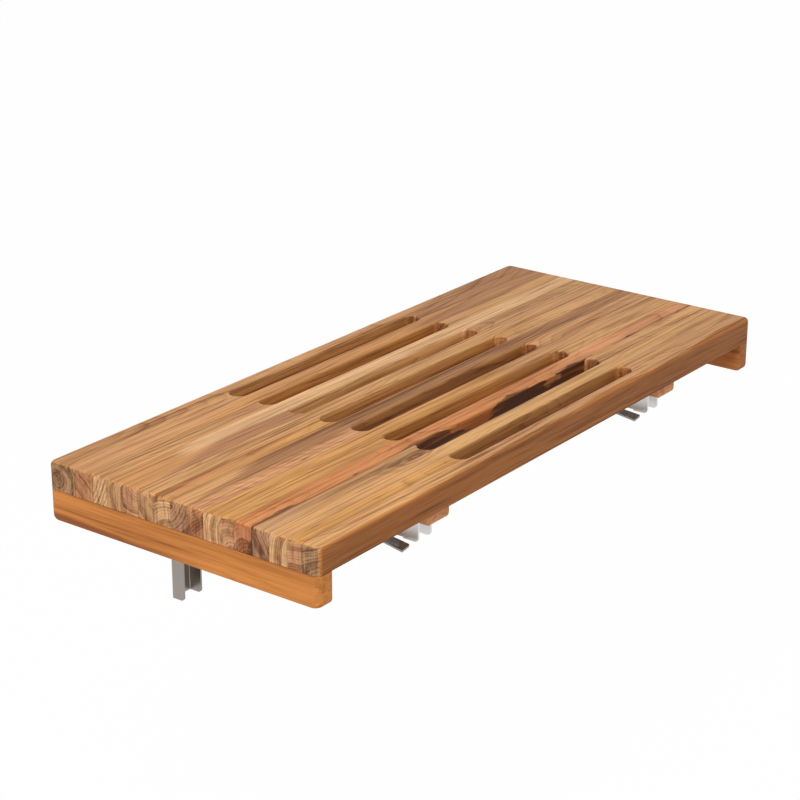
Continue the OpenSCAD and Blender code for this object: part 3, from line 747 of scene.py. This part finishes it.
def driven(name, places, head_z):
    """A copy of the screws with a star recess cut into each head, which takes the node's place."""
    cutters = bmesh.new()
    for x, y in places:
        ring = []
        for step in range(RECESS_LOBES * POINTS_TO_A_LOBE):
            angle = 2 * math.pi * step / (RECESS_LOBES * POINTS_TO_A_LOBE)
            reach = RECESS_RADIUS * (LOBE_MIDDLE + LOBE_WAVE * math.cos(RECESS_LOBES * angle))
            ring.append((x + reach * math.cos(angle), y + reach * math.sin(angle)))
        low = [cutters.verts.new((*p, head_z - RECESS_DEPTH)) for p in ring]
        high = [cutters.verts.new((*p, head_z + RECESS_DEPTH)) for p in ring]
        cutters.faces.new(reversed(low))
        cutters.faces.new(high)
        for n in range(len(ring)):
            m = (n + 1) % len(ring)
            cutters.faces.new((low[n], low[m], high[m], high[n]))
    cutter_mesh = bpy.data.meshes.new(name + "_cutters")
    cutters.to_mesh(cutter_mesh)
    cutters.free()
    cutter = bpy.data.objects.new(name + "_cutters", cutter_mesh)
    made = bpy.data.objects.new(name + "_driven", nodes[name].data.copy())
    for obj in (cutter, made):
        bpy.context.scene.collection.objects.link(obj)
    cut = made.modifiers.new("recess", "BOOLEAN")
    cut.operation, cut.object, cut.solver = "DIFFERENCE", cutter, "EXACT"
    bpy.context.view_layer.update()
    evaluated = made.evaluated_get(bpy.context.evaluated_depsgraph_get())
    mesh = bpy.data.meshes.new_from_object(evaluated)
    made.modifiers.clear()
    made.data = mesh
    bpy.data.objects.remove(cutter)
    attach(made, nodes[name]["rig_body"])
    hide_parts(name)
    dress(made, BRIGHT_STEEL)
    return made


def islands(name):
    """The middle, seen from above, of each separate solid in a CAD node."""
    work = bmesh.new()
    work.from_mesh(nodes[name].data)
    bmesh.ops.remove_doubles(work, verts=work.verts, dist=SAME_POINT)
    left, found = set(work.verts), []
    while left:
        stack, group = [left.pop()], []
        while stack:
            vert = stack.pop()
            group.append(vert.co.copy())
            for edge in vert.link_edges:
                other = edge.other_vert(vert)
                if other in left:
                    left.remove(other)
                    stack.append(other)
        xs, ys = [p.x for p in group], [p.y for p in group]
        found.append(((min(xs) + max(xs)) / 2, (min(ys) + max(ys)) / 2))
    work.free()
    return sorted(found)


driven("batten_screws", islands("batten_screws"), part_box("batten_screws")[0].z)


# ---- Wall channels ----
# Each bracket hangs on a channel of 2 mm stainless sheet, bent to a U that opens to the room.
# Its foot shows below the near end of the seat, duller than the rest because it faces shade.
CHANNEL_STEEL = steel_material("channel_steel", rgb(156, 148, 140), rough=0.24, uneven=0.16,
                               streak=0.8, grain_along="Z")
SHEET_EASE = 0.00022
for side in ("left", "right"):
    channel = eased(side + "_wall_channel", SHEET_EASE)
    dress(channel, CHANNEL_STEEL)


# ---- Corner pins, brace pins, spacers and washers ----
# Domed stainless pins are riveted across each wall channel. Short tubes centre the brace on its
# pin, and nylon washers keep the arm off the channel at the corner.
PIN_STEEL = steel_material("pin_steel", rgb(164, 157, 150), rough=0.28, uneven=0.12,
                           streak=0.8, grain_along="X")
for side in ("left", "right"):
    for kind in ("corner_pin", "brace_pin"):
        dress(nodes[f"{side}_{kind}"], PIN_STEEL)
dress(nodes["brace_spacers"], BRIGHT_STEEL)

nylon = bpy.data.materials.new("washer_nylon")
nylon.use_nodes = True
nylon_surface = nylon.node_tree.nodes["Principled BSDF"]
nylon_surface.inputs["Roughness"].default_value = 0.45
nylon_position = put(nylon.node_tree, "ShaderNodeTexCoord").outputs["Object"]
nylon_cloud = put(nylon.node_tree, "ShaderNodeTexNoise",
                  {"Vector": nylon_position, "Scale": 300.0, "Detail": 3.0}).outputs["Fac"]
nylon.node_tree.links.new(
    blend_colour(nylon.node_tree, nylon_cloud, rgb(226, 223, 214), rgb(208, 204, 192)),
    nylon_surface.inputs["Base Color"])
dress(nodes["corner_washers"], nylon)


# ---- Seat arms and their screws ----
# A narrower channel of stainless sheet is screwed along the underside of each batten and turns
# on the corner pin. Its front end is a deeper lug, and its flanges have the brace's long slot.
# Its steel is near white and partly diffuse: a painted sheen that stands for the bright reflection
# on the lug.
ARM_STEEL = steel_material("arm_steel", rgb(236, 235, 233), rough=0.38, uneven=0.10,
                           streak=0.5, grain_along="Y", metallic=0.7)
for side in ("left", "right"):
    arm = eased(side + "_arm", SHEET_EASE)
    dress(arm, ARM_STEEL)
driven("arm_screws", islands("arm_screws"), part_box("arm_screws")[0].z)


# ---- Braces and slide pins ----
# The brace is the diagonal that carries the seat: a small channel of stainless sheet that turns
# on the brace pin and holds a plain turned pin across its free end.
for side in ("left", "right"):
    brace = eased(side + "_brace", SHEET_EASE)
    dress(brace, ARM_STEEL)
    dress(nodes[side + "_slide_pin"], BRIGHT_STEEL)


# ---- Release levers, rivets and springs ----
# A strip of polished steel turns on a rivet inside each arm and comes out through a window as a
# tongue below the seat's front edge. A small wire coil between strip and flange pushes it back.
# The lever's steel is tinted darker than steel is: painted shade, so that its reflection of the
# board's underside comes out dark
LEVER_STEEL = steel_material("lever_steel", rgb(138, 136, 134), rough=0.08, uneven=0.12,
                             streak=0.6, grain_along="Y")
COIL_TURNS, COIL_STEPS, WIRE_RADIUS = 5, 16, 0.00028
for side in ("left", "right"):
    lever = eased(side + "_lever", SHEET_EASE)
    dress(lever, LEVER_STEEL)
    dress(nodes[side + "_lever_rivet"], BRIGHT_STEEL)

    low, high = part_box(side + "_lever_spring")
    middle = (low + high) / 2
    wide = (high.z - low.z) / 2 - WIRE_RADIUS
    curve = bpy.data.curves.new(side + "_lever_coil", "CURVE")
    curve.dimensions = "3D"
    curve.bevel_depth = WIRE_RADIUS
    curve.bevel_resolution = 2
    curve.use_fill_caps = True
    spline = curve.splines.new("POLY")
    spline.points.add(COIL_TURNS * COIL_STEPS)
    for step, point in enumerate(spline.points):
        share = step / (COIL_TURNS * COIL_STEPS)
        angle = 2 * math.pi * COIL_TURNS * share
        x = low.x + WIRE_RADIUS + share * (high.x - low.x - 2 * WIRE_RADIUS)
        point.co = (x, middle.y + wide * math.cos(angle), middle.z + wide * math.sin(angle), 1.0)
    coil_curve = bpy.data.objects.new(side + "_lever_coil_path", curve)
    bpy.context.scene.collection.objects.link(coil_curve)
    bpy.context.view_layer.update()
    wound = coil_curve.evaluated_get(bpy.context.evaluated_depsgraph_get())
    mesh = bpy.data.meshes.new_from_object(wound)
    bpy.data.objects.remove(coil_curve)
    coil = bpy.data.objects.new(side + "_lever_coil", mesh)
    bpy.context.scene.collection.objects.link(coil)
    for face in mesh.polygons:
        face.use_smooth = True
    dress(coil, BRIGHT_STEEL)
    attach(coil, "seat")
    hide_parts(side + "_lever_spring")
    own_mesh(coil)


# ---- Floor, light and background ----
# A plain pale floor lies 36 cm below the seat, and the room beyond it is white. One large soft
# lamp stands high on the left, and the white room fills the shadows. From below, the floor is
# clear, so the underside can be looked at.
FLOOR_Z, FLOOR_HALF = -0.36, 12.0
floor_mesh = bpy.data.meshes.new("floor")
floor_mesh.from_pydata(
    [(x * FLOOR_HALF, y * FLOOR_HALF, FLOOR_Z) for x, y in ((-1, -1), (1, -1), (1, 1), (-1, 1))],
    [], [(0, 1, 2, 3)])
floor = bpy.data.objects.new("floor", floor_mesh)
bpy.context.scene.collection.objects.link(floor)


def seen_directly(tree):
    """1 for what the camera sees, straight or in metal and glass, 0 for light on other things."""
    path = put(tree, "ShaderNodeLightPath").outputs
    return calc(tree, "ADD", add(tree, path["Is Camera Ray"], path["Is Glossy Ray"]),
                path["Is Transmission Ray"], clamp=True)


# The camera sees the floor white but for a share that is painted and keeps the bench's shadow
SHADOW_SHARE = 0.02
pale = bpy.data.materials.new("pale_floor")
pale.use_nodes = True
tree = pale.node_tree
tree.nodes.remove(tree.nodes["Principled BSDF"])
paint = put(tree, "ShaderNodeBsdfDiffuse", {"Color": (0.86, 0.86, 0.86, 1.0)})
glow = put(tree, "ShaderNodeEmission", {"Color": (1.0, 1.0, 1.0, 1.0), "Strength": 1.0})
white_share = times(tree, seen_directly(tree), 1.0 - SHADOW_SHARE)
from_above = put(tree, "ShaderNodeMixShader",
                 {0: white_share, 1: paint.outputs[0], 2: glow.outputs[0]})
clear = put(tree, "ShaderNodeBsdfTransparent")
from_below = put(tree, "ShaderNodeNewGeometry").outputs["Backfacing"]
both_sides = put(tree, "ShaderNodeMixShader",
                 {0: from_below, 1: from_above.outputs[0], 2: clear.outputs[0]})
tree.links.new(both_sides.outputs[0], tree.nodes["Material Output"].inputs["Surface"])
dress(floor, pale)

# The room lights the bench at half the brightness at which the camera sees it
AMBIENT = 0.5
room = bpy.data.worlds.new("white_room")
room.use_nodes = True
bpy.context.scene.world = room
tree = room.node_tree
sky = tree.nodes["Background"]
sky.inputs["Color"].default_value = (1.0, 1.0, 1.0, 1.0)
room_level = add(tree, AMBIENT, times(tree, seen_directly(tree), 1.0 - AMBIENT))
tree.links.new(room_level, sky.inputs["Strength"])

LAMP_AT, LAMP_AIM = Vector((-2.1, -1.0, 2.4)), Vector((0.0, -0.15, 0.1))
LAMP_WIDTH, LAMP_WATTS = 1.8, 72.0
softbox = bpy.data.lights.new("left_softbox", "AREA")
softbox.shape = "DISK"
softbox.size = LAMP_WIDTH
softbox.energy = LAMP_WATTS
lamp = bpy.data.objects.new("left_softbox", softbox)
lamp.location = LAMP_AT
lamp.rotation_mode = "QUATERNION"
lamp.rotation_quaternion = (LAMP_AIM - LAMP_AT).to_track_quat("-Z", "Y")
bpy.context.scene.collection.objects.link(lamp)

bpy.context.scene.view_settings.view_transform = "Standard"
